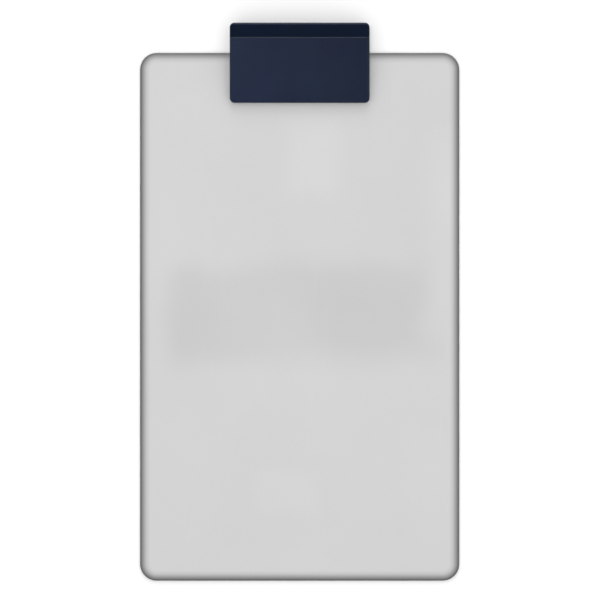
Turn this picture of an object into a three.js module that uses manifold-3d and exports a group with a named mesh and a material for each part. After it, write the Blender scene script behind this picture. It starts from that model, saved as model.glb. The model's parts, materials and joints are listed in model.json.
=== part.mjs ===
// A legal-size clipboard: a plastic board with a wide sprung plastic clip riveted over its top edge.
// The clip is two moulded shells on one steel pin. The base is riveted to the board, and its handle
// reaches past the board's edge. The lever's jaw is held shut on the board by two torsion springs,
// and squeezing the lever's thumb lip towards the base's handle opens it.
//
// Millimetres. X runs across the board, Y up along it, Z out of its writing face.
// The clip's parts sit in a group whose origin is the middle of the board's top edge, on its back face,
// so inside that group positive Y is past the edge of the board.
import * as THREE from "three";
import { ConvexGeometry } from "three/addons/geometries/ConvexGeometry.js";
import { mergeVertices } from "three/addons/utils/BufferGeometryUtils.js";
import Module from "manifold-3d";

const wasm = await Module();
wasm.setup();

// ---- Driving dimensions ----
const BOARD = { width: 228.6, length: 378, thickness: 3.2, corner: 12, edgeRoll: 5.6, edgeDrop: 2.2 };
const CLIP = { width: 100, length: 57.1, overhang: 21.3, corner: 3.4, wall: 2.2 };
const LEVER = { jawTop: 8.6, jawFoot: 4.3, noseDepth: 3.4, tilt: 9, step: 0.35 };
const LIP = { length: 10.4, tilt: 24, foldLag: 0.4 };
const LEVER_EDGES = { jaw: 0.5, noseInside: 1.2, foldInside: 3, lipEnd: 1, crest: 0.25, front: 1.2 };
const EARS = { innerX: 15.4, rootFront: -12.6, rootBack: 9.2, overlap: 0.6, outerExtra: 1.1 };
const STOP_RIBS = { xs: [-40, -7, 7, 40], width: 1.8, near: 3, far: 19, overlap: 0.8 };
const BASE = { sideGap: 0.5, endInset: 0.4, front: -14, corner: 2, plate: 1.6 };
const STOP_WALL = { depth: 1.3, top: 7.4, edge: 0.6 };
const HANDLE = { edgeGap: 0.35, foot: 0.4, wall: 1.8, hollowCorner: 1 };
const HANDLE_RIBS = { xs: [-36, -18, 0, 18, 36], width: 1.4, longWidth: 1.2, foot: 0.9, overlap: 0.2 };
const LUGS = { width: 3, innerX: 12, reach: 6 };
const PIN = { radius: 1.5, y: -2.5, z: 8.2, endInset: 0.3, chamfer: 0.3 };
const SPRING = { wire: 1.2, coilRadius: 2.45, pitch: 1.5, turns: 4, centreX: 29, legLength: 13 };
const RIVET = { xs: [-34, 0, 34], y: -8.7, shank: 2 };
const RIVET_HEAD = { radius: 4, depth: 0.9, chamfer: 0.4, recess: 0.15 };
const CLINCH = { radius: 3, bore: 1, height: 0.85, boreDepth: 1.2 };
const WASHER = { inner: 2.15, outer: 3.6, thickness: 0.6 };
const GRIP = { endInset: 4.2, depth: 1.7, top: 5.75, bottom: 3.3, edge: 0.4 };
const OPEN_LIMIT = 25.5; // degrees of lever travel at which its stop ribs meet the base's plate
const SEAT = 0.05; // gap between a face and the face that it rests on
const CLEARANCE = 0.2; // radial gap of a pin or rivet in its hole, and of the grip in its groove
const KNUCKLE_GAP = 0.3; // how far an inner ear or a lug stays off the plate that it turns above
const THROUGH = 1; // how far a cutter reaches past the faces that it cuts through
const ROOT = 0.4; // how far a wall or lug goes into the plate that it stands on
const ROUND_STEPS = 24; // sides of a full circle

// ---- Worked out from them ----
const overallLength = BOARD.length + CLIP.overhang;
const boardTop = overallLength / 2 - CLIP.overhang;
const noseY = CLIP.overhang - CLIP.length;
const creaseY = CLIP.overhang - LIP.length;
const plateBottom = BOARD.thickness + SEAT;
const plateTop = BOARD.thickness + BASE.plate;
const halfClip = CLIP.width / 2;
const halfBase = halfClip - CLIP.wall - BASE.sideGap;
const handleEnd = CLIP.overhang - BASE.endInset;
const noseMiddle = noseY + LEVER.noseDepth / 2;
const innerKnuckle = PIN.z - plateTop - KNUCKLE_GAP;
const outerKnuckle = innerKnuckle + EARS.outerExtra; // these hang clear of the plate's sides
const rad = THREE.MathUtils.degToRad;
const tilt = rad(LEVER.tilt);
const lipTilt = rad(LIP.tilt);
const faceZ = (y) => LEVER.jawTop + (y - noseY) * Math.tan(tilt);
const undersideZ = (y) => faceZ(y) - CLIP.wall / Math.cos(tilt);
const lipZ = (y) => faceZ(creaseY) - LEVER.step + (y - creaseY) * Math.tan(lipTilt);
const lipUndersideZ = (y) => lipZ(y) - CLIP.wall / Math.cos(lipTilt);

// ---- Materials ----
function material(color, roughness, metalness) {
  return new THREE.MeshStandardMaterial({ color, roughness, metalness });
}

const boardPlastic = material(0xd3d3d3, 0.42, 0);
const clipPlastic = material(0x262d3f, 0.4, 0);
const rubber = material(0x1b1c1f, 0.85, 0);
const springSteel = material(0xb9bcc0, 0.3, 1);
const rivetSteel = material(0xc6c8cb, 0.35, 1);

// ---- Solids: closed geometries joined and cut with manifold-3d ----
function solid(geometry) {
  const plain = geometry.index ? geometry.toNonIndexed() : geometry.clone();
  const bare = new THREE.BufferGeometry().setAttribute("position", plain.getAttribute("position"));
  const merged = mergeVertices(bare, 1e-4);
  const mesh = new wasm.Mesh({
    numProp: 3,
    vertProperties: merged.attributes.position.array,
    triVerts: new Uint32Array(merged.index.array),
  });
  return new wasm.Manifold(mesh);
}

function geometryOf(manifold) {
  const mesh = manifold.getMesh();
  const geometry = new THREE.BufferGeometry();
  geometry.setAttribute("position", new THREE.BufferAttribute(mesh.vertProperties, 3));
  geometry.setIndex(new THREE.BufferAttribute(mesh.triVerts, 1));
  geometry.computeVertexNormals();
  return geometry;
}

const join = (solids) => solids.reduce((all, next) => all.add(next));
const cut = (from, solids) => solids.reduce((left, next) => left.subtract(next), from);

function named(name, geometry, finish) {
  const mesh = new THREE.Mesh(geometry, finish);
  mesh.name = name;
  return mesh;
}

// A closed outline through corners [a, b, radius], each radius turned into an arc.
function outline(corners, arcSteps = 6) {
  const points = [];
  corners.forEach(([a, b, radius = 0], i) => {
    const corner = new THREE.Vector2(a, b);
    if (!radius) {
      points.push(corner);
      return;
    }
    const before = corners[(i + corners.length - 1) % corners.length];
    const after = corners[(i + 1) % corners.length];
    const toBefore = new THREE.Vector2(before[0], before[1]).sub(corner).normalize();
    const toAfter = new THREE.Vector2(after[0], after[1]).sub(corner).normalize();
    const half = Math.acos(THREE.MathUtils.clamp(toBefore.dot(toAfter), -1, 1)) / 2;
    const inward = toBefore.clone().add(toAfter).normalize();
    const centre = corner.clone().addScaledVector(inward, radius / Math.sin(half));
    const start = corner.clone().addScaledVector(toBefore, radius / Math.tan(half)).sub(centre);
    const end = corner.clone().addScaledVector(toAfter, radius / Math.tan(half)).sub(centre);
    const turn = Math.atan2(start.cross(end), start.dot(end));
    for (let k = 0; k <= arcSteps; k++) {
      const arm = start.clone().rotateAround(new THREE.Vector2(), (turn * k) / arcSteps);
      points.push(centre.clone().add(arm));
    }
  });
  return points;
}

function rectangle(x0, x1, y0, y1, radius = 0, arcSteps = 6) {
  return outline([[x0, y0, radius], [x1, y0, radius], [x1, y1, radius], [x0, y1, radius]], arcSteps);
}

// An outline drawn in X and Y, extruded up from z0 to z1.
function upright(points, z0, z1) {
  const made = new THREE.ExtrudeGeometry(new THREE.Shape(points), { depth: z1 - z0, bevelEnabled: false });
  return solid(made.translate(0, 0, z0));
}

// An outline drawn in Y and Z, extruded across from x0 to x1.
function across(points, x0, x1) {
  const made = new THREE.ExtrudeGeometry(new THREE.Shape(points), { depth: x1 - x0, bevelEnabled: false });
  const turn = new THREE.Matrix4().makeBasis(
    new THREE.Vector3(0, 1, 0),
    new THREE.Vector3(0, 0, 1),
    new THREE.Vector3(1, 0, 0),
  );
  return solid(made.applyMatrix4(turn).translate(x0, 0, 0));
}

function block(x0, x1, y0, y1, z0, z1) {
  const made = new THREE.BoxGeometry(x1 - x0, y1 - y0, z1 - z0);
  return solid(made.translate((x0 + x1) / 2, (y0 + y1) / 2, (z0 + z1) / 2));
}

function circle(y, z, radius, steps = ROUND_STEPS) {
  const at = (k) => [y + radius * Math.cos(k), z + radius * Math.sin(k)];
  return Array.from({ length: steps }, (_, i) => new THREE.Vector2(...at((i / steps) * 2 * Math.PI)));
}

// The convex shape round a set of points drawn in Y and Z, reaching from x0 to x1.
function hullAcross(points, x0, x1) {
  const corners = points.flatMap((p) => [new THREE.Vector3(x0, p.x, p.y), new THREE.Vector3(x1, p.x, p.y)]);
  return solid(new ConvexGeometry(corners));
}

function pinHole(halfWidth) {
  return across(circle(PIN.y, PIN.z, PIN.radius + CLEARANCE), -halfWidth - THROUGH, halfWidth + THROUGH);
}

function verticalCylinder(x, y, radius, z0, z1) {
  const made = new THREE.CylinderGeometry(radius, radius, z1 - z0, ROUND_STEPS);
  return solid(made.rotateX(Math.PI / 2).translate(x, y, (z0 + z1) / 2));
}

// ---- Board: a sheet whose front edge rolls down all round, with a counterbored hole for each rivet ----
function makeBoard() {
  const halfWidth = BOARD.width / 2;
  const plan = rectangle(-halfWidth, halfWidth, boardTop - BOARD.length, boardTop, BOARD.corner, 10);
  const doubled = new THREE.ExtrudeGeometry(new THREE.Shape(plan), {
    depth: 2 * (BOARD.thickness - BOARD.edgeDrop),
    bevelThickness: BOARD.edgeDrop,
    bevelSize: BOARD.edgeRoll,
    bevelOffset: -BOARD.edgeRoll,
    bevelSegments: 6,
  }).translate(0, 0, -(BOARD.thickness - BOARD.edgeDrop));
  const sheet = solid(doubled).trimByPlane([0, 0, 1], 0);
  const y = boardTop + RIVET.y;
  const holes = RIVET.xs.flatMap((x) => [
    verticalCylinder(x, y, RIVET.shank + CLEARANCE, -THROUGH, BOARD.thickness + THROUGH),
    verticalCylinder(x, y, RIVET_HEAD.radius + 2 * CLEARANCE, -THROUGH, RIVET_HEAD.depth + CLEARANCE),
  ]);
  return named("board", geometryOf(cut(sheet, holes)), boardPlastic);
}

// ---- Clip base: plate, ribbed handle, paper stop and the lugs that hold the pin ----
function lug(x0) {
  const feet = [-LUGS.reach, LUGS.reach].map((y) => new THREE.Vector2(PIN.y + y, plateTop - ROOT));
  return hullAcross([...circle(PIN.y, PIN.z, innerKnuckle), ...feet], x0, x0 + LUGS.width);
}

// The handle is an upside-down tray past the board's edge, with ribs across it and one along it.
function makeHandle() {
  const { edgeGap, foot, wall, hollowCorner } = HANDLE;
  const halfHollow = halfBase - wall;
  const [hollowFront, hollowBack] = [edgeGap + wall, handleEnd - wall];
  const outside = rectangle(-halfBase, halfBase, edgeGap, handleEnd, BASE.corner);
  const hollow = rectangle(-halfHollow, halfHollow, hollowFront, hollowBack, hollowCorner);
  const { xs, width, longWidth, overlap } = HANDLE_RIBS;
  const rib = (x0, x1, y0, y1) => block(x0, x1, y0, y1, HANDLE_RIBS.foot, plateBottom + overlap);
  const middle = (hollowFront + hollowBack) / 2;
  return join([
    cut(upright(outside, foot, plateTop - overlap), [upright(hollow, -THROUGH, plateBottom)]),
    ...xs.map((x) => rib(x - width / 2, x + width / 2, hollowFront - overlap, hollowBack + overlap)),
    rib(-halfHollow - overlap, halfHollow + overlap, middle - longWidth / 2, middle + longWidth / 2),
  ]);
}

function makeClipBase() {
  const stopBack = BASE.front + STOP_WALL.depth;
  const stopWall = outline([
    [BASE.front, plateTop - ROOT],
    [stopBack, plateTop - ROOT],
    [stopBack, STOP_WALL.top, STOP_WALL.edge],
    [BASE.front, STOP_WALL.top, STOP_WALL.edge],
  ], 3);
  const parts = [
    upright(rectangle(-halfBase, halfBase, BASE.front, handleEnd, BASE.corner), plateBottom, plateTop),
    makeHandle(),
    across(stopWall, -halfBase + STOP_WALL.edge, halfBase - STOP_WALL.edge),
    ...[-halfBase, LUGS.innerX].map((x) => lug(x)),
    ...[-LUGS.innerX, halfBase].map((x) => lug(x - LUGS.width)),
  ];
  const holes = [
    pinHole(halfBase),
    ...RIVET.xs.map((x) => verticalCylinder(x, RIVET.y, RIVET.shank + CLEARANCE, 0, plateTop + THROUGH)),
  ];
  return named("clip_base", geometryOf(cut(join(parts), holes)), clipPlastic);
}

// ---- Clip lever: plain face, thumb lip, jaw nose, ears on the pin, and ribs that stop its travel ----
function leverSection() {
  const noseBack = noseY + LEVER.noseDepth;
  const lipEnd = CLIP.overhang;
  const foldY = creaseY + LIP.foldLag; // the underside folds a little past the crease in the face
  return outline([
    [noseY, LEVER.jawFoot, LEVER_EDGES.jaw],
    [noseBack, LEVER.jawFoot, LEVER_EDGES.jaw],
    [noseBack, undersideZ(noseBack), LEVER_EDGES.noseInside],
    [foldY, undersideZ(foldY), LEVER_EDGES.foldInside],
    [lipEnd, lipUndersideZ(lipEnd), LEVER_EDGES.lipEnd],
    [lipEnd, lipZ(lipEnd), LEVER_EDGES.lipEnd],
    [creaseY, faceZ(creaseY) - LEVER.step],
    [creaseY, faceZ(creaseY), LEVER_EDGES.crest],
    [noseY, faceZ(noseY), LEVER_EDGES.front],
  ], 5);
}

// A rounded ear on the pin, blended into the lever's underside.
function ear(x0, radius) {
  const { rootFront, rootBack, overlap } = EARS;
  const root = [rootFront, rootBack].map((y) => new THREE.Vector2(y, undersideZ(y) + overlap));
  return hullAcross([...circle(PIN.y, PIN.z, radius), ...root], x0, x0 + CLIP.wall);
}

// A rib whose lower edge lands flat on the base's plate when the lever is fully open.
function stopRib(x) {
  const stop = rad(OPEN_LIMIT);
  const lower = (y) => PIN.z - (PIN.z - plateTop) / Math.cos(stop) + (y - PIN.y) * Math.tan(stop);
  const { width, near, far, overlap } = STOP_RIBS;
  const points = [
    new THREE.Vector2(near, lower(near)),
    new THREE.Vector2(far, lower(far)),
    new THREE.Vector2(far, lipUndersideZ(far) + overlap),
    new THREE.Vector2(creaseY, undersideZ(creaseY) + overlap),
    new THREE.Vector2(near, undersideZ(near) + overlap),
  ];
  return across(points, x - width / 2, x + width / 2);
}

function makeClipLever() {
  const plan = rectangle(-halfClip, halfClip, noseY, CLIP.overhang, CLIP.corner);
  const tall = 2 * lipZ(CLIP.overhang);
  const shell = across(leverSection(), -halfClip, halfClip).intersect(upright(plan, 0, tall));
  const grooveEnd = halfClip - GRIP.endInset + CLEARANCE;
  const grooveHalf = GRIP.depth / 2 + CLEARANCE;
  const [grooveFront, grooveBack] = [noseMiddle - grooveHalf, noseMiddle + grooveHalf];
  const groove = block(-grooveEnd, grooveEnd, grooveFront, grooveBack, 0, GRIP.top + CLEARANCE);
  const parts = [
    shell,
    ...[-halfClip, halfClip - CLIP.wall].map((x) => ear(x, outerKnuckle)),
    ...[-EARS.innerX - CLIP.wall, EARS.innerX].map((x) => ear(x, innerKnuckle)),
    ...STOP_RIBS.xs.map(stopRib),
  ];
  const lever = cut(join(parts), [groove, pinHole(halfClip)]);
  return named("clip_lever", geometryOf(lever), clipPlastic);
}

// ---- Jaw grip: a rubber strip pressed into the groove under the jaw ----
function makeJawGrip() {
  const [front, back] = [noseMiddle - GRIP.depth / 2, noseMiddle + GRIP.depth / 2];
  const section = outline([
    [front, GRIP.bottom, GRIP.edge],
    [back, GRIP.bottom, GRIP.edge],
    [back, GRIP.top],
    [front, GRIP.top],
  ], 3);
  const end = halfClip - GRIP.endInset;
  return named("jaw_grip", geometryOf(across(section, -end, end)), rubber);
}

// ---- Hinge pin ----
const latheProfile = (pairs) => pairs.map(([radius, height]) => new THREE.Vector2(radius, height));

function makeHingePin() {
  const end = halfClip - PIN.endInset;
  const profile = latheProfile([
    [0, -end],
    [PIN.radius - PIN.chamfer, -end],
    [PIN.radius, -end + PIN.chamfer],
    [PIN.radius, end - PIN.chamfer],
    [PIN.radius - PIN.chamfer, end],
    [0, end],
  ]);
  const pin = named("hinge_pin", new THREE.LatheGeometry(profile, ROUND_STEPS), springSteel);
  pin.rotation.z = -Math.PI / 2;
  pin.position.set(0, PIN.y, PIN.z);
  return pin;
}

// ---- Torsion springs: a coil on the pin, one leg on the base's plate and one under the lever ----
function makeTorsionSpring(name, side) {
  const { wire, coilRadius, pitch, turns, centreX, legLength } = SPRING;
  const startAngle = Math.PI / 2 + tilt; // where the lever's leg leaves the coil
  const endAngle = Math.PI * 1.5 + turns * 2 * Math.PI; // where the base's leg leaves it
  const turned = (endAngle - startAngle) / (2 * Math.PI);
  const at = (share, along) => {
    const angle = startAngle + share * (endAngle - startAngle);
    const onCoil = new THREE.Vector3(
      side * (centreX + pitch * turned * (0.5 - share)),
      PIN.y + coilRadius * Math.cos(angle),
      PIN.z + coilRadius * Math.sin(angle),
    );
    const tangent = new THREE.Vector3(0, Math.sin(angle), -Math.cos(angle));
    return onCoil.addScaledVector(tangent, along);
  };
  const legSteps = 4;
  const stepsPerTurn = 14;
  const coilSteps = Math.round(turned * stepsPerTurn);
  const legShares = Array.from({ length: legSteps }, (_, i) => (i + 1) / legSteps);
  const coilShares = Array.from({ length: coilSteps + 1 }, (_, i) => i / coilSteps);
  const points = [
    ...legShares.map((share) => at(0, legLength * share)).reverse(),
    ...coilShares.map((share) => at(share, 0)),
    ...legShares.map((share) => at(1, -legLength * share)),
  ];
  const geometry = new THREE.ExtrudeGeometry(new THREE.Shape(circle(0, 0, wire / 2, 8)), {
    steps: points.length - 1,
    extrudePath: new THREE.CatmullRomCurve3(points, false, "centripetal"),
  });
  return named(name, geometry, springSteel);
}

// ---- Rivets, each with a hollow end rolled over its washer ----
function standing(mesh, x) {
  mesh.rotation.x = Math.PI / 2;
  mesh.position.set(x, RIVET.y, 0);
  return mesh;
}

function makeRivet(name, x) {
  const base = RIVET_HEAD.recess; // the head sits just inside the board's back face
  const headTop = base + RIVET_HEAD.depth;
  const seat = plateTop + WASHER.thickness + 2 * SEAT;
  const rollRadius = (CLINCH.radius - CLINCH.bore) / 2;
  const rollSteps = 6;
  const roll = Array.from({ length: rollSteps + 1 }, (_, i) => {
    const angle = (Math.PI * i) / rollSteps;
    return [CLINCH.bore + rollRadius * (1 + Math.cos(angle)), seat + CLINCH.height * Math.sin(angle)];
  });
  const boreFoot = seat + CLINCH.height - CLINCH.boreDepth;
  const profile = latheProfile([
    [0, base],
    [RIVET_HEAD.radius - RIVET_HEAD.chamfer, base],
    [RIVET_HEAD.radius, base + RIVET_HEAD.chamfer],
    [RIVET_HEAD.radius, headTop],
    [RIVET.shank, headTop],
    [RIVET.shank, seat],
    ...roll,
    [CLINCH.bore, boreFoot],
    [0, boreFoot],
  ]);
  return standing(named(name, new THREE.LatheGeometry(profile, ROUND_STEPS), rivetSteel), x);
}

function makeWasher(name, x) {
  const bottom = plateTop + SEAT;
  const top = bottom + WASHER.thickness;
  const profile = latheProfile([
    [WASHER.inner, bottom],
    [WASHER.outer, bottom],
    [WASHER.outer, top],
    [WASHER.inner, top],
    [WASHER.inner, bottom],
  ]);
  return standing(named(name, new THREE.LatheGeometry(profile, ROUND_STEPS), rivetSteel), x);
}

// ---- Assembly ----
const clip = new THREE.Group();
clip.position.set(0, boardTop, 0);
clip.add(
  makeClipBase(),
  makeClipLever(),
  makeJawGrip(),
  makeHingePin(),
  makeTorsionSpring("torsion_spring_left", -1),
  makeTorsionSpring("torsion_spring_right", 1),
);
["left", "centre", "right"].forEach((where, i) => {
  clip.add(makeRivet(`rivet_${where}`, RIVET.xs[i]), makeWasher(`rivet_washer_${where}`, RIVET.xs[i]));
});

const clipboard = new THREE.Group();
clipboard.add(makeBoard(), clip);

export default clipboard;
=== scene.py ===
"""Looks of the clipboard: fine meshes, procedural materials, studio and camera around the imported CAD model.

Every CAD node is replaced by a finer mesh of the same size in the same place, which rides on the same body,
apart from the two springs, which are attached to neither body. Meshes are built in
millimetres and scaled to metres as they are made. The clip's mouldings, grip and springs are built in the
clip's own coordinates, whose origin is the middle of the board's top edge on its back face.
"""

import json
import math
from bisect import bisect_right

import bmesh
import bpy
from mathutils import Matrix, Vector


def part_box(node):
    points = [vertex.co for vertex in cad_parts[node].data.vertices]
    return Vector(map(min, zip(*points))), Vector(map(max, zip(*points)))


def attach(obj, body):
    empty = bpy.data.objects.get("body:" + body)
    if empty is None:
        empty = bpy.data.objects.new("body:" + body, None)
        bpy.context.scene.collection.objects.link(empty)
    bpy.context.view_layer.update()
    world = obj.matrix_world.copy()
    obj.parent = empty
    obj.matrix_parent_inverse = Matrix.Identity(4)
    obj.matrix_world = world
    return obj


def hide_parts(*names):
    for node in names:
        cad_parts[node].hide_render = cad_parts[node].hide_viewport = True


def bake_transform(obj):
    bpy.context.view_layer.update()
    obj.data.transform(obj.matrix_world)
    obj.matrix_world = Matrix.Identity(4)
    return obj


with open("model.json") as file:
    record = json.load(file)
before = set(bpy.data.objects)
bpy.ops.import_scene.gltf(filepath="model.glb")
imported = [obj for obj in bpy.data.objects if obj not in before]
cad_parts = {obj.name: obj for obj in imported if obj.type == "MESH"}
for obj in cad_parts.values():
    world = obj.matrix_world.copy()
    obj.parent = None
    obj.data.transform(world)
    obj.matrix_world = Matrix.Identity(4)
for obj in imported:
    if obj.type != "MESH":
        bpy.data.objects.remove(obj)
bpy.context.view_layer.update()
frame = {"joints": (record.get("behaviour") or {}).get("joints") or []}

# ---- Sizes read from the frame, in millimetres ----
MM = 0.001


def box_mm(node):
    low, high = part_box(node)
    return low / MM, high / MM


board_low, board_high = box_mm("board")
lever_low, lever_high = box_mm("clip_lever")
base_low, base_high = box_mm("clip_base")
grip_low, grip_high = box_mm("jaw_grip")
pin_low, pin_high = box_mm("hinge_pin")
TOP_EDGE = board_high.y
CLIP_ORIGIN = Vector((0, TOP_EDGE, 0))
hinge = next(joint for joint in frame["joints"] if joint["name"] == "clip_hinge")
pin = Vector(hinge["pos_m"]) / MM - CLIP_ORIGIN
THICKNESS = board_high.z
NOSE_Y = lever_low.y - TOP_EDGE
LIP_END = lever_high.y - TOP_EDGE
LEVER_HALF = lever_high.x
BASE_HALF = base_high.x
BASE_FRONT = base_low.y - TOP_EDGE
BASE_END = base_high.y - TOP_EDGE

# ---- Sizes that the frame's boxes don't give, in millimetres ----
BOARD_CORNER = 12
BOARD_ROLL = (5.6, 2.2)  # how far in from the edge the front face starts to roll down, and how far it drops
BOARD_BACK_EDGE = (0.5, 0.35)
CLIP_CORNER = 3.4
WALL = 2.2
PANEL_FRONT_Z = 8.6
PANEL_TILT = math.radians(9)
JAW_FOOT = 4.3
NOSE_DEPTH = 3.4
LIP_LENGTH = 10.4
LIP_TILT = math.radians(24)
STEP = 0.35  # how far below the panel's crest the thumb lip starts
CREASE = LIP_END - LIP_LENGTH
INNER_EAR_X = 15.4
EAR_ROOTS = (-12.6, 9.2)
EAR_OVERLAP = 0.6
OUTER_EAR_DROP = 0.8  # how far the outer ears hang below the top of the base's plate
OUTER_EAR_INSET = 0.15
STOP_RIB_XS = (-40, -7, 7, 40)
STOP_RIB_SPAN = (3, 19)
STOP_RIB_WIDTH = 1.8
STOP_RIB_OVERLAP = 0.8
OPEN_STOP = math.radians(25.5)  # the lever's travel when its stop ribs meet the base's plate
BASE_CORNER = 2
PLATE_TOP = 4.8
PLATE_BOTTOM = 3.25
STOP_WALL_DEPTH = 1.3
STOP_WALL_TOP = 7.4
STOP_WALL_EDGE = 0.55
STOP_WALL_ROOT = 0.6
STOP_WALL_INSET = 1.8
HANDLE_FRONT = 0.35
HANDLE_WALL = 1.8
HANDLE_RIB_XS = (-36, -18, 0, 18, 36)
HANDLE_RIB_WIDTH = 1.4
LONG_RIB_WIDTH = 1.2
LONG_RIB_INSET = 1
HANDLE_RIB_FOOT = 0.9
LUG_INNER_X = 12
LUG_WIDTH = 3
LUG_REACH = 6
LUG_ROOT = 0.4
LUG_INSET = 0.02
KNUCKLE_GAP = 0.3  # how far an inner ear or a lug stays off the plate that it turns above
BORE = 1.7
GRIP_PLAY = 0.2
RIVET_HOLE = 2.2
RIVET_POCKET_DEPTH = 1.1
RIVET_PLACES = ("left", "centre", "right")
THROUGH = 1  # how far a cutter reaches past the faces that it cuts through
TURN_STEPS = 48  # sides of a turned piece
KNUCKLE_STEPS = 40  # sides of an ear's or a lug's round end


def face_z(y):
    return PANEL_FRONT_Z + (y - NOSE_Y) * math.tan(PANEL_TILT)


def underside_z(y):
    return face_z(y) - WALL / math.cos(PANEL_TILT)


def lip_z(y):
    return face_z(CREASE) - STEP + (y - CREASE) * math.tan(LIP_TILT)


def lip_underside_z(y):
    return lip_z(y) - WALL / math.cos(LIP_TILT)


# ---- Lines and outlines ----
def rounded(corners, steps=6):
    """Points of a line through corners (a, b, radius), with each radius turned into an arc."""
    points = []
    for i, (a, b, radius) in enumerate(corners):
        here = Vector((a, b))
        if radius == 0:
            points.append(here)
            continue
        back = (Vector(corners[i - 1][:2]) - here).normalized()
        on = (Vector(corners[(i + 1) % len(corners)][:2]) - here).normalized()
        half = back.angle(on) / 2
        centre = here + (back + on).normalized() * (radius / math.sin(half))
        start = here + back * (radius / math.tan(half)) - centre
        end = here + on * (radius / math.tan(half)) - centre
        turn = math.atan2(start.x * end.y - start.y * end.x, start.dot(end))
        for k in range(steps + 1):
            points.append(centre + Matrix.Rotation(turn * k / steps, 2) @ start)
    return points


def full_turn(steps):
    """Angles evenly spaced once round."""
    return [2 * math.pi * k / steps for k in range(steps)]


def circle(centre, radius, steps=32):
    return [Vector(centre) + radius * Vector((math.cos(a), math.sin(a))) for a in full_turn(steps)]


def hull(points):
    """The convex outline round some points, anticlockwise."""
    ordered = sorted((p.x, p.y) for p in points)
    straight = 1e-9  # a turn smaller than this counts as going straight on

    def chain(sequence):
        kept = []
        for p in sequence:
            while len(kept) > 1:
                (ax, ay), (bx, by) = kept[-2:]
                if (bx - ax) * (p[1] - ay) - (by - ay) * (p[0] - ax) > straight:
                    break
                kept.pop()
            kept.append(p)
        return kept[:-1]

    return [Vector(p) for p in chain(ordered) + chain(ordered[::-1])]


def inset(outline, amount):
    """The anticlockwise outline moved inwards by an amount, corner by corner."""
    sharpest = 0.3  # keeps a very sharp corner from moving too far
    moved = []
    for i, here in enumerate(outline):
        back = (here - outline[i - 1]).normalized()
        on = (outline[(i + 1) % len(outline)] - here).normalized()
        normal = Vector((-back.y - on.y, back.x + on.x)).normalized()
        moved.append(here + normal * (amount / max(normal.dot(Vector((-back.y, back.x))), sharpest)))
    return moved


def height_on(curve, y):
    """The height at y of a line of (y, z) points whose y only rises."""
    i = min(max(bisect_right([p.x for p in curve], y), 1), len(curve) - 1)
    a, b = curve[i - 1], curve[i]
    return a.y + (b.y - a.y) * min(max((y - a.x) / (b.x - a.x), 0), 1)


# ---- Meshes ----
def mesh_object(name, points, faces, at=CLIP_ORIGIN):
    """An object whose mesh is in millimetres round its own origin, placed at a point in millimetres."""
    mesh = bpy.data.meshes.new(name)
    mesh.from_pydata([Vector(p) * MM for p in points], [], faces)
    mesh.update()
    made = bpy.data.objects.new(name, mesh)
    made.location = Vector(at) * MM
    bpy.context.scene.collection.objects.link(made)
    bpy.context.view_layer.update()
    return made


def stitched(rings, closed_ends=True):
    """Points and faces of quads between closed rings of equally many points, with flat end caps."""
    count = len(rings[0])
    faces = []
    for r in range(len(rings) - 1):
        for k in range(count):
            a, b = r * count + k, r * count + (k + 1) % count
            faces.append((a, b, b + count, a + count))
    if closed_ends:
        faces.append(tuple(range(count))[::-1])
        faces.append(tuple(range((len(rings) - 1) * count, len(rings) * count)))
    return [p for ring in rings for p in ring], faces


def prism(outline, x0, x1, soft=0.25, steps=3):
    """Points and faces of an outline in Y and Z reaching from x0 to x1, with its two ends' edges rounded."""
    angles = [math.pi / 2 * k / steps for k in range(steps + 1)]
    ends = [(soft * (1 - math.sin(a)), soft * (1 - math.cos(a))) for a in angles]
    stations = [(x0 + out, shrink) for shrink, out in ends]
    stations += [(x1 - out, shrink) for shrink, out in reversed(ends)]
    rings = [[(x, p.x, p.y) for p in inset(outline, shrink)] for x, shrink in stations]
    return stitched(rings)


def turned(profile):
    """Points and faces of a profile of (radius, height) turned about Z, starting and ending on the axis."""
    rings = []
    for radius, height in profile[1:-1]:
        rings.append([(radius * math.cos(a), radius * math.sin(a), height) for a in full_turn(TURN_STEPS)])
    points, faces = stitched(rings, closed_ends=False)
    low, high = len(points), len(points) + 1
    last = (len(rings) - 1) * TURN_STEPS
    points += [(0, 0, profile[0][1]), (0, 0, profile[-1][1])]
    for k in range(TURN_STEPS):
        beside = (k + 1) % TURN_STEPS
        faces.append((low, beside, k))
        faces.append((high, last + k, last + beside))
    return points, faces


def ring_turned(profile):
    """Points and faces of a closed profile of (radius, height), turned about Z."""
    rings = [[(r * math.cos(a), r * math.sin(a), h) for r, h in profile] for a in full_turn(TURN_STEPS)]
    rings.append(rings[0])
    points, faces = stitched(rings, closed_ends=False)
    real = TURN_STEPS * len(profile)
    return points[:real], [tuple(i % real for i in face) for face in faces]


def wire(path, radius):
    """Points and faces of a round wire along a path, with domed ends."""
    sides = 14
    dome = [(0.45, 0.85), (0.85, 0.5)]  # how wide each ring of an end is and how far out, in wire radii
    last = len(path) - 1
    tangents = [(path[min(i + 1, last)] - path[max(i - 1, 0)]).normalized() for i in range(len(path))]
    side = tangents[0].orthogonal().normalized()
    rings = []
    for i, (here, tangent) in enumerate(zip(path, tangents)):
        side = (side - tangent * side.dot(tangent)).normalized()
        other = tangent.cross(side)
        stations = [(1, 0)]
        if i == 0:
            stations = [(width, -out) for width, out in dome] + stations
        if i == last:
            stations += dome[::-1]
        for width, along in stations:
            ring = []
            for a in full_turn(sides):
                arm = side * math.cos(a) + other * math.sin(a)
                ring.append(here + arm * radius * width + tangent * radius * along)
            rings.append(ring)
    return stitched(rings)


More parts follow.
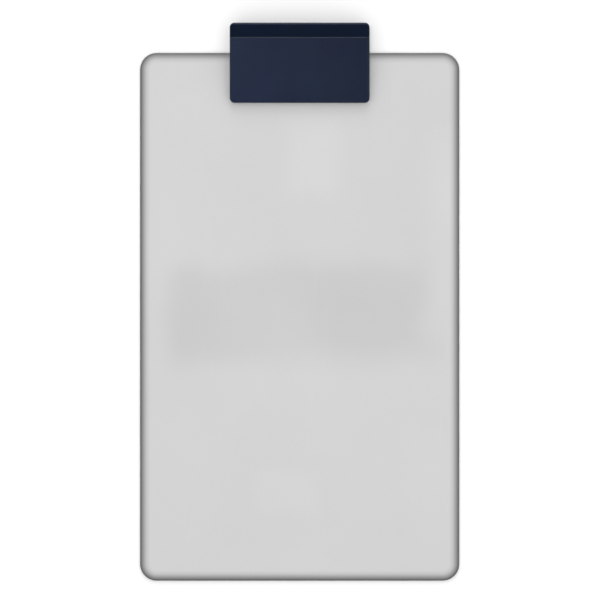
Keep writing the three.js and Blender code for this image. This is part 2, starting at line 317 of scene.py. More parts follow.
def edge_steps(corner, reach):
    """Distances in from the outline to the corner's centre, closer together across a rounded edge."""
    edge_rows, corner_rows = 7, 6
    across = [reach * (1 - math.cos(math.pi / 2 * k / edge_rows)) for k in range(edge_rows + 1)]
    inner = max(0, round((corner - reach) / (corner / corner_rows)))
    across += [reach + (corner - reach) * (k + 1) / inner for k in range(inner)]
    return across


def rounded_plate(half, top, bottom, corner, top_edge, bottom_edge, columns):
    """Points and faces of a plate whose plan is a rectangle with round corners, X from -half to half.

    top and bottom are lines of (y, z) points, the plate's upper and lower faces seen from the side, with the
    same first and last y. Each edge size is (width, height) of the quarter ellipse that rounds that edge.
    """
    low_y, high_y = top[0].x, top[-1].x
    steps = edge_steps(corner, top_edge[0])
    xs = [-half + d for d in steps] + [half - d for d in reversed(steps)]
    inner = half - corner
    xs[len(steps):len(steps)] = [inner * (2 * k / columns - 1) for k in range(1, columns)]
    margin = 0.01  # keeps a line's own points clear of the corners' rows
    middle = {round(p.x, 6) for line in (top, bottom) for p in line}
    middle = sorted(y for y in middle if low_y + corner + margin < y < high_y - corner - margin)
    ys = [low_y + d for d in steps] + middle + [high_y - d for d in reversed(steps)]

    def place(x, y):
        """Where a grid point goes in plan, and how far that is in from the outline."""
        beyond_x = (abs(x) - inner) / corner
        beyond_y = (low_y + corner - y if y < (low_y + high_y) / 2 else y - high_y + corner) / corner
        if beyond_x <= 0 or beyond_y <= 0:
            return x, y, min(half - abs(x), y - low_y, high_y - y)
        reach = max(beyond_x, beyond_y)
        angle = math.pi / 4 * beyond_y / beyond_x
        if beyond_y > beyond_x:
            angle = math.pi / 2 - math.pi / 4 * beyond_x / beyond_y
        centre_y = low_y + corner if y < (low_y + high_y) / 2 else high_y - corner
        side_x, side_y = math.copysign(1, x), math.copysign(1, y - centre_y)
        plan_x = side_x * (inner + corner * reach * math.cos(angle))
        return plan_x, centre_y + side_y * corner * reach * math.sin(angle), corner * (1 - reach)

    def drop(distance, edge):
        width, height = edge
        if distance >= width:
            return 0
        return height * (1 - math.sqrt(max(0, 1 - (1 - distance / width) ** 2)))

    points, count = [], len(ys)
    for line, edge, sign in ((top, top_edge, -1), (bottom, bottom_edge, 1)):
        for x in xs:
            for y in ys:
                plan_x, plan_y, distance = place(x, y)
                points.append((plan_x, plan_y, height_on(line, plan_y) + sign * drop(distance, edge)))
    faces = []
    lower = len(xs) * count
    for i in range(len(xs) - 1):
        for j in range(count - 1):
            a, b = i * count + j, (i + 1) * count + j
            faces.append((a, b, b + 1, a + 1))
            faces.append((lower + a + 1, lower + b + 1, lower + b, lower + a))
    rim = [i * count for i in range(len(xs))]
    rim += [(len(xs) - 1) * count + j for j in range(1, count)]
    rim += [i * count + count - 1 for i in range(len(xs) - 2, -1, -1)]
    rim += [j for j in range(count - 2, 0, -1)]
    for a, b in zip(rim, rim[1:] + rim[:1]):
        faces.append((a, lower + a, lower + b, b))
    return points, faces


def combine(target, operation, made):
    """Joins a shape to the target, or cuts it out. made is (points, faces) in the target's coordinates."""
    tool = mesh_object("tool", *made, at=target.location / MM)
    modifier = target.modifiers.new("boolean", "BOOLEAN")
    modifier.operation = operation
    modifier.solver = "MANIFOLD"
    modifier.object = tool
    evaluated = target.evaluated_get(bpy.context.evaluated_depsgraph_get())
    result = bpy.data.meshes.new_from_object(evaluated)
    result.materials.clear()
    target.modifiers.clear()
    target.data = result
    bpy.data.objects.remove(tool)


def join(target, *shapes):
    for shape in shapes:
        combine(target, "UNION", shape)


def cut(target, *shapes):
    for shape in shapes:
        combine(target, "DIFFERENCE", shape)


def block(x0, x1, y0, y1, z0, z1):
    outline = [Vector((y0, z0)), Vector((y1, z0)), Vector((y1, z1)), Vector((y0, z1))]
    return stitched([[(x, p.x, p.y) for p in outline] for x in (x0, x1)])


def upright(made, x, y):
    """A shape turned about Z, moved to stand at x and y."""
    points, faces = made
    return [(p[0] + x, p[1] + y, p[2]) for p in points], faces


def pin_bore(x0, x1):
    return stitched([[(x, p.x, p.y) for p in circle((pin.y, pin.z), BORE)] for x in (x0, x1)])


def smooth(made, sharp=32):
    """Smooth shading with crisp edges, where big flat faces keep their own direction."""
    made.data.shade_smooth()
    made.data.set_sharp_from_angle(angle=math.radians(sharp))
    weighted = made.modifiers.new("weighted_normals", "WEIGHTED_NORMAL")
    weighted.keep_sharp = True
    weighted.weight = 80
    return made


def clean(made):
    """Welds doubled points and turns every face outwards."""
    weld = 1e-6  # metres
    edit = bmesh.new()
    edit.from_mesh(made.data)
    bmesh.ops.remove_doubles(edit, verts=edit.verts, dist=weld)
    bmesh.ops.dissolve_degenerate(edit, edges=edit.edges, dist=weld)
    bmesh.ops.recalc_face_normals(edit, faces=edit.faces)
    edit.to_mesh(made.data)
    edit.free()


# ---- Materials ----
NAVY = (0.0024, 0.0082, 0.034)
GREENER_NAVY = (0.0018, 0.0094, 0.032)
# The lip's navy is the panel's plastic darkened as painted shade, where the lip tilts away from the light.
SHADED_LIP_NAVY = (0.0012, 0.0065, 0.0205)
PALE_NAVY_HIGHLIGHT = (0.024, 0.032, 0.06)  # paler colour of the painted highlights and painted sheen on the same plastic
USUAL_NOISE = (0.3, 0.7)  # where nearly all of a noise's values lie

# Painted shade on the board's rolled rim: brightness by distance in from its outline, in millimetres.
RIM_PAINTED_SHADE = ((0.0, 0.27), (0.9, 0.28), (1.3, 0.36), (2.6, 0.55), (4.7, 0.85), (7.2, 1.0))

# Soft marks on the board: middle across and up, half width and half height, all as shares of its half width
# and half length, then softness in millimetres and how much brighter or darker the mark is.
BOARD_MARKS = (
    (0.02, 0.015, 0.82, 0.18, 12, -0.065),
    (0.44, -0.03, 0.38, 0.15, 18, -0.03),
    (-0.66, 0.04, 0.12, 0.14, 10, -0.02),
    (0.08, 0.6, 0.16, 0.14, 9, 0.035),
    (-0.07, -0.66, 0.17, 0.07, 9, 0.032),
    (0.9, 0.35, 0.08, 0.35, 10, 0.02),
    (0.82, -0.65, 0.15, 0.25, 14, 0.016),
    (-0.8, 0.85, 0.2, 0.15, 14, 0.012),
    (0.6, 0.55, 0.2, 0.3, 16, -0.015),
)


class Paint:
    """A procedural material being put together from nodes in object coordinates."""

    def __init__(self, name, base, roughness, metallic=0.0, specular=0.5):
        self.material = bpy.data.materials.new(name)
        self.material.use_nodes = True
        self.tree = self.material.node_tree
        self.shader = self.tree.nodes["Principled BSDF"]
        self.shader.inputs["Base Color"].default_value = (*base, 1)
        self.shader.inputs["Roughness"].default_value = roughness
        self.shader.inputs["Metallic"].default_value = metallic
        self.shader.inputs["Specular IOR Level"].default_value = specular
        self.place = self.node("ShaderNodeTexCoord").outputs["Object"]
        self.base = base

    def node(self, kind, **settings):
        made = self.tree.nodes.new(kind)
        for key, value in settings.items():
            setattr(made, key, value)
        return made

    def link(self, source, target):
        self.tree.links.new(source, target)

    def along(self, axis):
        """Object coordinates along one axis, in metres."""
        split = self.node("ShaderNodeSeparateXYZ")
        self.link(self.place, split.inputs["Vector"])
        return split.outputs[axis]

    def maths(self, operation, a, b=None):
        made = self.node("ShaderNodeMath", operation=operation)
        for socket, value in zip(made.inputs, (a, b)):
            if value is None:
                continue
            if isinstance(value, (int, float)):
                socket.default_value = value
            else:
                self.link(value, socket)
        return made.outputs[0]

    def stretched(self, scale):
        """Object coordinates scaled differently along each axis."""
        mapping = self.node("ShaderNodeMapping")
        mapping.inputs["Scale"].default_value = scale
        self.link(self.place, mapping.inputs["Vector"])
        return mapping.outputs["Vector"]

    def noise(self, size, detail, coordinates=None):
        """Noise from 0 to 1 whose features are about `size` millimetres across."""
        made = self.node("ShaderNodeTexNoise")
        made.inputs["Scale"].default_value = 1 / (size * MM)
        made.inputs["Detail"].default_value = detail
        self.link(coordinates or self.place, made.inputs["Vector"])
        return made.outputs["Fac"]

    def between(self, value, low, high, to_low=0.0, to_high=1.0, soft=False):
        """A value spread from low..high to to_low..to_high, held at the ends."""
        made = self.node("ShaderNodeMapRange", clamp=True)
        made.interpolation_type = "SMOOTHSTEP" if soft else "LINEAR"
        for key, number in (("From Min", low), ("From Max", high), ("To Min", to_low), ("To Max", to_high)):
            made.inputs[key].default_value = number
        self.link(value, made.inputs["Value"])
        return made.outputs["Result"]

    def varied(self, size, detail, low, high, coordinates=None):
        """Noise spread from low to high, with features about `size` millimetres across."""
        return self.between(self.noise(size, detail, coordinates), *USUAL_NOISE, low, high)

    def from_outline(self, low, high, corner):
        """How far in, in metres, a point lies from a rectangle with round corners, whose sizes are in mm."""
        squares = []
        for i, axis in enumerate("XY"):
            off = self.maths("SUBTRACT", self.along(axis), (low[i] + high[i]) / 2 * MM)
            straight = ((high[i] - low[i]) / 2 - corner) * MM
            beyond = self.maths("MAXIMUM", self.maths("SUBTRACT", self.maths("ABSOLUTE", off), straight), 0)
            squares.append(self.maths("MULTIPLY", beyond, beyond))
        return self.maths("SUBTRACT", corner * MM, self.maths("SQRT", self.maths("ADD", *squares)))

    def tint(self, factor, colour=None):
        """Multiplies the base colour, or a colour already made, by a varying factor."""
        made = self.node("ShaderNodeMix", data_type="RGBA", blend_type="MULTIPLY")
        made.inputs["Factor"].default_value = 1
        if colour is None:
            made.inputs["A"].default_value = (*self.base, 1)
        else:
            self.link(colour, made.inputs["A"])
        self.link(factor, made.inputs["B"])
        return made.outputs["Result"]

    def mixed(self, factor, colour, other):
        """From a colour to a plain other colour as the factor goes from 0 to 1."""
        made = self.node("ShaderNodeMix", data_type="RGBA")
        self.link(factor, made.inputs["Factor"])
        if isinstance(colour, tuple):
            made.inputs["A"].default_value = (*colour, 1)
        else:
            self.link(colour, made.inputs["A"])
        made.inputs["B"].default_value = (*other, 1)
        return made.outputs["Result"]

    def bump(self, height, depth, under=None):
        """Adds a bump `depth` millimetres deep, over an earlier one if there is one."""
        made = self.node("ShaderNodeBump")
        made.inputs["Strength"].default_value = 1
        made.inputs["Distance"].default_value = depth * MM
        self.link(height, made.inputs["Height"])
        if under is not None:
            self.link(under, made.inputs["Normal"])
        return made.outputs["Normal"]

    def finish(self, colour=None, roughness=None, normal=None):
        for value, key in ((colour, "Base Color"), (roughness, "Roughness"), (normal, "Normal")):
            if value is not None:
                self.link(value, self.shader.inputs[key])
        return self.material


def painted_rim_shade(paint):
    """Paints shade that darkens the board towards its rolled edge."""
    width = RIM_PAINTED_SHADE[-1][0]
    from_edge = paint.from_outline(board_low, board_high, BOARD_CORNER)
    rim = paint.node("ShaderNodeValToRGB")
    paint.link(paint.between(from_edge, 0, width * MM), rim.inputs["Fac"])
    while len(rim.color_ramp.elements) < len(RIM_PAINTED_SHADE):
        rim.color_ramp.elements.new(0.5)
    for element, (distance, value) in zip(rim.color_ramp.elements, RIM_PAINTED_SHADE):
        element.position = distance / width
        element.color = (value, value, value, 1)
    return rim.outputs["Color"]


def board_marks(paint):
    """How bright the board is where marks lie over each other, round 1."""
    half_x, half_y = board_high.x, (board_high.y - board_low.y) / 2
    x = paint.along("X")
    y = paint.maths("SUBTRACT", paint.along("Y"), (board_low.y + board_high.y) / 2 * MM)
    wander_size, wander_reach = 60, 26  # millimetres
    centred = paint.maths("SUBTRACT", paint.noise(wander_size, 1), 0.5)
    wander = paint.maths("MULTIPLY", centred, wander_reach * MM)
    total = 1.0
    for across, up, wide, tall, soft, strength in BOARD_MARKS:
        inside = []
        for value, middle, reach in ((x, across * half_x, wide * half_x), (y, up * half_y, tall * half_y)):
            off = paint.maths("ABSOLUTE", paint.maths("SUBTRACT", value, middle * MM))
            off = paint.maths("ADD", off, wander)
            inside.append(paint.between(off, (reach - soft) * MM, (reach + soft) * MM, 1, 0, soft=True))
        mark = paint.maths("MULTIPLY", paint.maths("MULTIPLY", *inside), strength)
        total = paint.maths("ADD", mark, total)
    return total


def board_plastic():
    """Light grey styrene: painted shade darkening its rolled rim, faint mottle, fine grain and marks from
    rubbing.
    """
    paint = Paint("board_plastic", (0.55, 0.55, 0.55), 0.52, specular=0.35)
    colour = paint.tint(paint.varied(110, 1, 0.985, 1.015))
    grain = paint.varied(0.5, 1, 0.985, 1.015)
    streaks = paint.noise(6, 3, paint.stretched((1.0, 0.08, 1.0)))
    rubbed_and_highlight = paint.between(streaks, 0.62, 0.72, 1, 1.01)
    # The last factor is painted shade on the rolled rim.
    for factor in (grain, rubbed_and_highlight, board_marks(paint), painted_rim_shade(paint)):
        colour = paint.tint(factor, colour)
    roughness = paint.varied(25, 4, 0.48, 0.56)
    peel = paint.bump(paint.noise(1.8, 2), 0.01)
    fine = paint.bump(paint.noise(0.25, 2), 0.008, peel)
    return paint.finish(colour, roughness, fine)


def painted_edge_highlight(paint, colour, low, high, corner, strength, crest=None):
    """Painted highlights: the plastic made paler along a moulding's outline and, if it has a crease, along
    the crest of that.
    """
    rim_from, rim_to = 0.5, 2.0
    crest_from, crest_to, crest_strength = 0.2, 0.55, 0.25
    from_edge = paint.from_outline(low, high, corner)
    # Painted highlight along the outline, and along the crease's crest if there is one.
    rubbed_and_highlight = paint.between(from_edge, rim_from * MM, rim_to * MM, strength, 0, soft=True)
    if crest is not None:
        off = paint.maths("ABSOLUTE", paint.maths("SUBTRACT", paint.along("Y"), crest * MM))
        line = paint.between(off, crest_from * MM, crest_to * MM, crest_strength, 0, soft=True)
        rubbed_and_highlight = paint.maths("MAXIMUM", rubbed_and_highlight, line)
    patchy = paint.varied(5, 3, 0.6, 1.0)
    return paint.mixed(paint.maths("MULTIPLY", rubbed_and_highlight, patchy), colour, PALE_NAVY_HIGHLIGHT)


def clip_textured(name, *edge_highlight):
    """Navy moulded plastic with a fine spark-eroded texture; painted light and a painted sheen make it
    lighter and paler towards its left side, and painted highlights run along its edges.
    """
    paint = Paint(name, NAVY, 0.5, specular=0.33)
    x = paint.along("X")
    # Painted light from the left: the colour runs from 1.27 at the left side to 0.83 at the right, and a
    # painted sheen pales the left half; the roughness is divided by the same factor.
    across = paint.between(x, lever_low.x * MM, lever_high.x * MM, 1.27, 0.83)
    painted_sheen = paint.between(x, lever_low.x * MM, 0, 0.09, 0, soft=True)
    blotches = paint.between(paint.noise(24, 2), 0.35, 0.65, soft=True)
    hue = paint.mixed(blotches, NAVY, GREENER_NAVY)
    painted_light_colour = paint.mixed(painted_sheen, paint.tint(across, hue), PALE_NAVY_HIGHLIGHT)
    mottle = paint.varied(35, 2, 0.9, 1.1)
    speck = paint.varied(0.35, 2, 0.92, 1.08)
    colour = painted_edge_highlight(paint, paint.tint(speck, paint.tint(mottle, painted_light_colour)), *edge_highlight)
    roughness = paint.maths("DIVIDE", paint.varied(9, 3, 0.46, 0.54), across)
    coarse = paint.bump(paint.noise(0.7, 2), 0.02)
    fine = paint.bump(paint.noise(0.28, 3), 0.02, coarse)
    return paint.finish(colour, roughness, fine)


def clip_polished(name, *edge_highlight):
    """Navy plastic where the mould is polished: the thumb lip and the line of the panel beside it, darker as
    painted shade, with painted highlights along the lip's far edge and the crest.
    """
    paint = Paint(name, SHADED_LIP_NAVY, 0.3, specular=0.33)
    mottle = paint.varied(15, 3, 0.95, 1.05)
    roughness = paint.varied(9, 3, 0.28, 0.33, paint.stretched((1.0, 1.6, 1.0)))
    peel = paint.bump(paint.noise(4, 2), 0.004)
    return paint.finish(painted_edge_highlight(paint, paint.tint(mottle), *edge_highlight), roughness, peel)


def grip_rubber():
    """Black rubber, matt and slightly dusty."""
    paint = Paint("grip_rubber", (0.013, 0.013, 0.014), 0.85, specular=0.3)
    dust = paint.between(paint.noise(3, 4), 0.5, 0.75, 0.0, 0.35)
    colour = paint.mixed(dust, paint.base, (0.05, 0.048, 0.045))
    roughness = paint.varied(1.5, 3, 0.78, 0.92)
    grain = paint.bump(paint.noise(0.2, 3), 0.015)
    return paint.finish(colour, roughness, grain)


def drawn_steel():
    """Bright drawn steel wire and rod: fine marks along X, with a little dulling."""
    paint = Paint("bright_steel", (0.56, 0.57, 0.59), 0.3, metallic=1.0)
    marks = paint.noise(0.12, 3, paint.stretched((0.06, 1.0, 1.0)))
    dull = paint.between(paint.noise(2.5, 2), 0.35, 0.65, 0.9, 1.03)
    roughness = paint.between(marks, *USUAL_NOISE, 0.25, 0.34)
    return paint.finish(paint.tint(dull), roughness, paint.bump(marks, 0.002))


def plated_steel():
    """Nickel-plated steel with faint turning rings about each rivet's axis."""
    paint = Paint("plated_steel", (0.63, 0.62, 0.6), 0.26, metallic=1.0)
    rings = paint.node("ShaderNodeTexWave", wave_type="RINGS", rings_direction="Z")
    rings.inputs["Scale"].default_value = 420
    rings.inputs["Distortion"].default_value = 1.5
    paint.link(paint.place, rings.inputs["Vector"])
    dull = paint.between(paint.noise(1.6, 4), 0.35, 0.65, 0.82, 1.05)
    roughness = paint.varied(0.8, 3, 0.2, 0.36)
    return paint.finish(paint.tint(dull), roughness, paint.bump(rings.outputs["Fac"], 0.004))


BOARD_PLASTIC = board_plastic()
CREST_LINE = CREASE - 0.3  # the panel's side of the crease
SIDEWAYS = Vector((5, 0, 0))  # takes the lip's sides out of the painted highlight's reach, which leaves its far edge
# Strengths of the painted highlights along each moulding's edges.
RIM_HIGHLIGHT, LIP_HIGHLIGHT, BASE_HIGHLIGHT = 0.5, 1.0, 0.4
lever_outline = (lever_low - CLIP_ORIGIN, lever_high - CLIP_ORIGIN)
lip_outline = (lever_outline[0] - SIDEWAYS, lever_outline[1] + SIDEWAYS)
base_outline = (base_low - CLIP_ORIGIN, base_high - CLIP_ORIGIN)
LEVER_TEXTURED = clip_textured("clip_plastic_textured", *lever_outline, CLIP_CORNER, RIM_HIGHLIGHT, CREST_LINE)
LEVER_POLISHED = clip_polished("clip_plastic_polished", *lip_outline, CLIP_CORNER, LIP_HIGHLIGHT, CREST_LINE)
BASE_TEXTURED = clip_textured("clip_plastic_base", *base_outline, BASE_CORNER, BASE_HIGHLIGHT)
GRIP_RUBBER = grip_rubber()
DRAWN_STEEL = drawn_steel()
PLATED_STEEL = plated_steel()


def dress(made, materials, slot, body, *nodes):
    """Gives a piece its materials and puts it on its body in place of its CAD nodes; slot is not used."""
    for material in materials:
        made.data.materials.append(material)
    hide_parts(*nodes)
    if body:
        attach(made, body)


def knuckle(radius, roots):
    """The outline of a wall with a round end about the pin and its roots at two points."""
    return hull(circle((pin.y, pin.z), radius, KNUCKLE_STEPS) + roots)


# ---- Board ----
def rivet_pocket(radius):
    """Cutter for a rivet's head and shank, with a chamfered mouth at the board's back face."""
    chamfer = 0.25
    return turned([
        (0, -THROUGH),
        (radius + chamfer + THROUGH, -THROUGH),
        (radius + chamfer, 0),
        (radius, chamfer),
        (radius, RIVET_POCKET_DEPTH),
        (RIVET_HOLE, RIVET_POCKET_DEPTH),
        (RIVET_HOLE, THICKNESS + THROUGH),
        (0, THICKNESS + THROUGH),
    ])


def make_board():
    columns, head_play = 8, 0.4
    front, back = [[Vector((y, z)) for y in (board_low.y, board_high.y)] for z in (THICKNESS, 0)]
    plate = rounded_plate(board_high.x, front, back, BOARD_CORNER, BOARD_ROLL, BOARD_BACK_EDGE, columns)
    board = mesh_object("board_sheet", *plate, at=(0, 0, 0))
    for where in RIVET_PLACES:
        low, high = box_mm("rivet_" + where)
        centre = (low + high) / 2
        pocket = rivet_pocket((high.x - low.x) / 2 + head_play)
        cut(board, upright(pocket, centre.x, centre.y))
    clean(board)
    dress(smooth(board), [BOARD_PLASTIC], "board_plastic", "board_assembly", "board")


# ---- Clip lever ----
def ear(x0, x1, radius):
    roots = [Vector((y, underside_z(y) + EAR_OVERLAP)) for y in EAR_ROOTS]
    return prism(knuckle(radius, roots), x0, x1)


def stop_rib(x):
    """A rib whose lower edge lands flat on the base's plate when the lever is fully open."""
    near, far = STOP_RIB_SPAN
    foot = pin.z - (pin.z - PLATE_TOP) / math.cos(OPEN_STOP)
    lower = [Vector((y, foot + (y - pin.y) * math.tan(OPEN_STOP))) for y in (near, far)]
    upper = [
        Vector((far, lip_underside_z(far) + STOP_RIB_OVERLAP)),
        Vector((CREASE, underside_z(CREASE) + STOP_RIB_OVERLAP)),
        Vector((near, underside_z(near) + STOP_RIB_OVERLAP)),
    ]
    return prism(lower + upper, x - STOP_RIB_WIDTH / 2, x + STOP_RIB_WIDTH / 2)


def lever_shell():
    """The panel, thumb lip and jaw nose, folded at the crease."""
    columns = 20
    crest, foot = CREASE - 0.12, CREASE + 0.17
    top = rounded([
        (NOSE_Y, face_z(NOSE_Y), 0),
        (crest, face_z(crest), 0.6),
        (foot, lip_z(foot), 0.14),
        (LIP_END, lip_z(LIP_END), 0),
    ])
    nose_back = NOSE_Y + NOSE_DEPTH
    nose_root = nose_back + 0.1
    fold = CREASE + 0.4
    bottom = rounded([
        (NOSE_Y, JAW_FOOT, 0),
        (nose_back, JAW_FOOT, 0.4),
        (nose_root, underside_z(nose_root), 1.2),
        (fold, underside_z(fold), 3),
        (LIP_END, lip_underside_z(LIP_END), 0),
    ])
    return rounded_plate(LEVER_HALF, top, bottom, CLIP_CORNER, (1.6, 1.2), (0.4, 0.4), columns)


def make_lever():
    lever = mesh_object("lever_shell", *lever_shell())
    outer = pin.z - PLATE_TOP + OUTER_EAR_DROP
    inner = pin.z - PLATE_TOP - KNUCKLE_GAP
    pairs = (
        (LEVER_HALF - WALL, LEVER_HALF - OUTER_EAR_INSET, outer),
        (INNER_EAR_X, INNER_EAR_X + WALL, inner),
    )
    for near, far, radius in pairs:
        join(lever, ear(-far, -near, radius), ear(near, far, radius))
    join(lever, *[stop_rib(x) for x in STOP_RIB_XS])
    groove_x = grip_high.x + GRIP_PLAY
    groove_y = (grip_low.y - TOP_EDGE - GRIP_PLAY, grip_high.y - TOP_EDGE + GRIP_PLAY)
    cut(lever, block(-groove_x, groove_x, *groove_y, 0, grip_high.z + GRIP_PLAY))
    cut(lever, pin_bore(-LEVER_HALF - THROUGH, LEVER_HALF + THROUGH))
    clean(lever)
    polished_from, steepest = CREASE - 0.42, -0.2  # the polish takes in all but the lip's underside
    for face in lever.data.polygons:
        if face.center.y / MM > polished_from and face.normal.z > steepest:
            face.material_index = 1
    dress(smooth(lever), [LEVER_TEXTURED, LEVER_POLISHED], "clip_plastic", "lever", "clip_lever")


# ---- Clip base ----
def lug(x):
    roots = [Vector((pin.y + y, PLATE_TOP - LUG_ROOT)) for y in (-LUG_REACH, LUG_REACH)]
    return prism(knuckle(pin.z - PLATE_TOP - KNUCKLE_GAP, roots), x, x + LUG_WIDTH)


def base_shell():
    """The plate on the board's front and, past the board's edge, the thicker handle."""
    columns = 16
    foot = base_low.z
    top = [Vector((y, PLATE_TOP)) for y in (BASE_FRONT, BASE_END)]
    bottom = rounded([
        (BASE_FRONT, PLATE_BOTTOM, 0),
        (HANDLE_FRONT, PLATE_BOTTOM, 0),
        (HANDLE_FRONT + 0.08, foot, 0.4),
        (BASE_END, foot, 0),
    ])
    return rounded_plate(BASE_HALF, top, bottom, BASE_CORNER, (0.6, 0.5), (0.25, 0.2), columns)


def handle_rib(y0, y1):
    """The outline, seen from the side, of a rib under the handle."""
    top, edge = PLATE_BOTTOM + 0.2, 0.2
    corners = [(y0, HANDLE_RIB_FOOT, edge), (y1, HANDLE_RIB_FOOT, edge), (y1, top, 0), (y0, top, 0)]
    return rounded(corners, steps=2)


def hollow_handle(base):
    """Cuts out the underside of the handle and stands its ribs in the hollow."""
    corner, columns, overlap = 1, 4, 0.3
    front, back = HANDLE_FRONT + HANDLE_WALL, BASE_END - HANDLE_WALL
    hollow = [[Vector((y, z)) for y in (front, back)] for z in (PLATE_BOTTOM, -THROUGH)]
    half = BASE_HALF - HANDLE_WALL
    cut(base, rounded_plate(half, *hollow, corner, (0.5, 0.5), (0.1, 0.1), columns))
    section = handle_rib(front - overlap, back + overlap)
    reach = HANDLE_RIB_WIDTH / 2
    join(base, *[prism(section, x - reach, x + reach, 0.15) for x in HANDLE_RIB_XS])
    middle = (front + back) / 2
    section = handle_rib(middle - LONG_RIB_WIDTH / 2, middle + LONG_RIB_WIDTH / 2)
    join(base, prism(section, -BASE_HALF + LONG_RIB_INSET, BASE_HALF - LONG_RIB_INSET, 0.1))


def stop_wall():
    """The wall that stops the paper's top edge."""
    root, back = PLATE_TOP - STOP_WALL_ROOT, BASE_FRONT + STOP_WALL_DEPTH
    section = rounded([
        (BASE_FRONT, root, 0),
        (back, root, 0),
        (back, STOP_WALL_TOP, STOP_WALL_EDGE),
        (BASE_FRONT, STOP_WALL_TOP, STOP_WALL_EDGE),
    ])
    half = BASE_HALF - STOP_WALL_INSET
    return prism(section, -half, half, 0.5, 5)


def make_base():
    base = mesh_object("base_shell", *base_shell())
    hollow_handle(base)
    join(base, stop_wall())
    outer, inner = BASE_HALF - LUG_INSET, LUG_INNER_X + LUG_WIDTH
    join(base, *[lug(x) for x in (-outer, -inner, LUG_INNER_X, outer - LUG_WIDTH)])
    cut(base, pin_bore(-BASE_HALF - THROUGH, BASE_HALF + THROUGH))
    chamfer = 0.2
    below, above = PLATE_BOTTOM - THROUGH, PLATE_TOP + THROUGH
    mouth = RIVET_HOLE + chamfer
    hole = [(0, below), (RIVET_HOLE, below), (RIVET_HOLE, PLATE_TOP - chamfer), (mouth, PLATE_TOP)]
    hole += [(mouth, above), (0, above)]
    for where in RIVET_PLACES:
        low, high = box_mm("rivet_" + where)
        centre = (low + high) / 2
        cut(base, upright(turned(hole), centre.x, centre.y - TOP_EDGE))
    clean(base)
    dress(smooth(base), [BASE_TEXTURED], "clip_plastic", "board_assembly", "clip_base")


# ---- Jaw grip: three low ribs run along its lower face ----
def make_grip():
    low_y, high_y = grip_low.y - TOP_EDGE, grip_high.y - TOP_EDGE
    ribs, groove, groove_depth, shoulder, back_edge = 3, 0.06, 0.45, 0.3, 0.15
    width = (high_y - low_y) / ribs
    corners = []
    for k in range(ribs):
        start = low_y + k * width
        corners += [(start + groove, grip_low.z, 0.1), (start + width - groove, grip_low.z, 0.1)]
        if k < ribs - 1:
            corners.append((start + width, grip_low.z + groove_depth, 0.06))
    corners += [(high_y, grip_low.z + shoulder, 0), (high_y, grip_high.z, back_edge)]
    corners += [(low_y, grip_high.z, back_edge), (low_y, grip_low.z + shoulder, 0)]
    strip = prism(rounded(corners, steps=3), grip_low.x, grip_high.x, 0.08)
    grip = mesh_object("grip_strip", *strip)
    dress(smooth(grip), [GRIP_RUBBER], "grip_rubber", "lever", "jaw_grip")


# ---- Hinge pin, with slightly domed ends ----
def make_pin():
    radius, end, dome_depth = (pin_high.z - pin_low.z) / 2, pin_high.x, 0.6
    # Each ring of a dome, as its share of the radius and how far it lies in from the end.
    dome_rings = ((0.5, 0.03), (0.75, 0.09), (0.88, 0.2), (0.97, 0.38))
    dome = [(radius * share, end - depth) for share, depth in dome_rings]
    profile = [(0, -end)] + [(r, -x) for r, x in dome] + [(radius, -end + dome_depth)]
    profile += [(radius, end - dome_depth)] + dome[::-1] + [(0, end)]
    points, faces = turned(profile)
    rod = mesh_object("pin_rod", [(z, y, -x) for x, y, z in points], faces, at=pin + CLIP_ORIGIN)
    dress(smooth(rod, 50), [DRAWN_STEEL], "bright_steel", "board_assembly", "hinge_pin")


# ---- Torsion springs: one end of the coil bears on the base, the other on the lever; neither is attached to a body ----
def make_spring(node, side):
    wire_radius, coil_radius, pitch, turns, leg = 0.6, 2.45, 1.5, 4, 13
    splay = 0.3  # how far each leg leans out to press on its plate
    low, high = box_mm(node)
    start = math.pi / 2 + PANEL_TILT
    end = math.pi * 1.5 + turns * 2 * math.pi
    length = pitch * (end - start) / (2 * math.pi)
    centre_x = (low.x + high.x) / 2

    def at(angle, along=0.0):
        share = (angle - start) / (end - start)
        out = coil_radius + splay * (abs(along) / leg) ** 1.5
        x = centre_x + side * length * (0.5 - share)
        tangent = Vector((0, math.sin(angle), -math.cos(angle)))
        return Vector((x, pin.y + out * math.cos(angle), pin.z + out * math.sin(angle))) + tangent * along

    coil_steps, leg_steps = 150, 12
    path = [at(start, leg * k / leg_steps) for k in range(leg_steps, 0, -1)]
    path += [at(start + (end - start) * k / coil_steps) for k in range(coil_steps + 1)]
    path += [at(end, -leg * k / leg_steps) for k in range(1, leg_steps + 1)]
    spring = mesh_object(node + "_wire", *wire(path, wire_radius))
    clean(spring)
    spring.data.shade_smooth()
    dress(spring, [DRAWN_STEEL], "bright_steel", None, node)
    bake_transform(spring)


# ---- Rivets and washers ----
def arc(radius, height, size, degrees):
    """Points of an arc in a turned profile, round a centre at that radius and height."""
    angles = [math.radians(turn) for turn in degrees]
    return [(radius + size * math.cos(a), height + size * math.sin(a)) for a in angles]


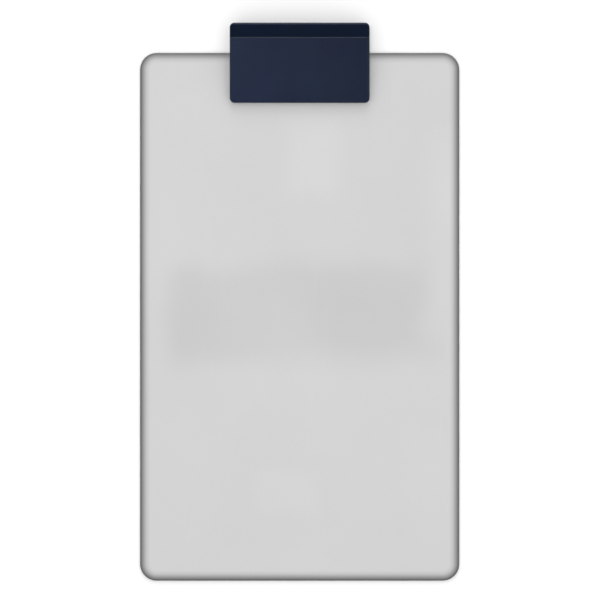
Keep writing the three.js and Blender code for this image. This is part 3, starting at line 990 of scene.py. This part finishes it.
def make_rivet(node):
    """A rivet with a domed head, and a hollow end that is rolled outwards over the washer."""
    low, high = box_mm(node)
    head, top, shank = (high.x - low.x) / 2, high.z, 2.0
    head_top, seat = low.z + 0.9, top - 0.85
    head_flat, head_round, head_chamfer = 1.1, 0.45, 0.12
    roll_middle, roll = 2.55, 0.42
    hollow = ((2.2, 0.02), (1.7, 0.12), (1.35, 0.38), (1.15, 0.8), (1.05, 1.3), (0.6, 1.38), (0, 1.4))
    profile = [(0, low.z), (head - head_flat, low.z)]
    profile += arc(head - head_round, low.z + head_round, head_round, (-90, -60, -30, 0))
    profile += [(head, head_top - head_chamfer), (head - head_chamfer, head_top)]
    profile += [(shank, head_top), (shank, seat), (roll_middle - 0.1, seat)]
    profile += arc(roll_middle, seat + roll, roll, (-80, -50, -20, 10, 40, 70, 95))
    profile += [(radius, top - depth) for radius, depth in hollow]
    place = ((low.x + high.x) / 2, (low.y + high.y) / 2, 0)
    rivet = mesh_object(node + "_turned", *turned(profile), at=place)
    dress(smooth(rivet, 40), [PLATED_STEEL], "plated_steel", "board_assembly", node)


def make_washer(node):
    low, high = box_mm(node)
    outer, inner, soft = (high.x - low.x) / 2, 2.15, 0.12
    corners = [(inner, low.z, soft), (outer, low.z, soft), (outer, high.z, soft), (inner, high.z, soft)]
    section = [tuple(p) for p in rounded(corners, steps=3)]
    place = ((low.x + high.x) / 2, (low.y + high.y) / 2, 0)
    washer = mesh_object(node + "_turned", *ring_turned(section), at=place)
    clean(washer)
    dress(smooth(washer, 40), [PLATED_STEEL], "plated_steel", "board_assembly", node)


make_board()
make_lever()
make_base()
make_grip()
make_pin()
make_spring("torsion_spring_left", -1)
make_spring("torsion_spring_right", 1)
for where in RIVET_PLACES:
    make_rivet("rivet_" + where)
    make_washer("rivet_washer_" + where)


# ---- Studio ----
def make_floor():
    """A pale floor just under the board, which sends no diffuse light back up to the object."""
    size, gap = 6.0, 0.0003
    mesh = bpy.data.meshes.new("floor")
    corners = [(-size, -size, -gap), (size, -size, -gap), (size, size, -gap), (-size, size, -gap)]
    mesh.from_pydata(corners, [], [(0, 1, 2, 3)])
    floor = bpy.data.objects.new("floor", mesh)
    bpy.context.scene.collection.objects.link(floor)
    paint = Paint("floor", (0.92, 0.92, 0.92), 0.9, specular=0.0)
    mesh.materials.append(paint.material)
    floor.visible_diffuse = False


def make_light(name, place, size, watts, in_gloss=True):
    """A disk light aimed at the middle of the object, which glossy surfaces mirror if in_gloss is set."""
    light = bpy.data.lights.new(name, "AREA")
    light.shape = "DISK"
    light.size = size
    light.energy = watts
    lamp = bpy.data.objects.new(name, light)
    lamp.location = place
    aim = Vector((0, 0, 0)) - Vector(place)
    lamp.rotation_euler = aim.to_track_quat("-Z", "Y").to_euler()
    lamp.visible_camera = False
    lamp.visible_glossy = in_gloss
    bpy.context.scene.collection.objects.link(lamp)


def make_world():
    """A weak white surround that the camera itself sees as plain white."""
    lit, seen = 0.13, 1.0
    world = bpy.data.worlds.new("studio")
    world.use_nodes = True
    background = world.node_tree.nodes["Background"]
    background.inputs["Color"].default_value = (1, 1, 1, 1)
    sight = world.node_tree.nodes.new("ShaderNodeLightPath").outputs["Is Camera Ray"]
    strength = world.node_tree.nodes.new("ShaderNodeMapRange")
    strength.inputs["To Min"].default_value = lit
    strength.inputs["To Max"].default_value = seen
    world.node_tree.links.new(sight, strength.inputs["Value"])
    world.node_tree.links.new(strength.outputs["Result"], background.inputs["Strength"])
    bpy.context.scene.world = world


def make_camera():
    """Straight above the board, far off through a long lens."""
    view_width, lens, sensor, far = 0.4297, 600, 36, 20
    aim_x, aim_y = 0.00025, 0.0014
    camera = bpy.data.cameras.new("camera")
    camera.lens, camera.sensor_width = lens, sensor
    holder = bpy.data.objects.new("camera", camera)
    distance = view_width * lens / sensor
    holder.location = (aim_x, aim_y, THICKNESS * MM + distance)
    camera.clip_end = far
    bpy.context.scene.collection.objects.link(holder)
    bpy.context.scene.camera = holder


# A small key light high up, a wide low ceiling for soft shadows, and a low light past the clip's end.
make_floor()
make_world()
make_light("key", (-0.35, 0.6, 6.0), size=1.2, watts=62)
make_light("ceiling", (0, 0, 1.2), size=6.0, watts=82, in_gloss=False)
make_light("back", (0, 3.9, 1.6), size=2.0, watts=46)
make_camera()
bpy.context.scene.view_settings.view_transform = "Standard"
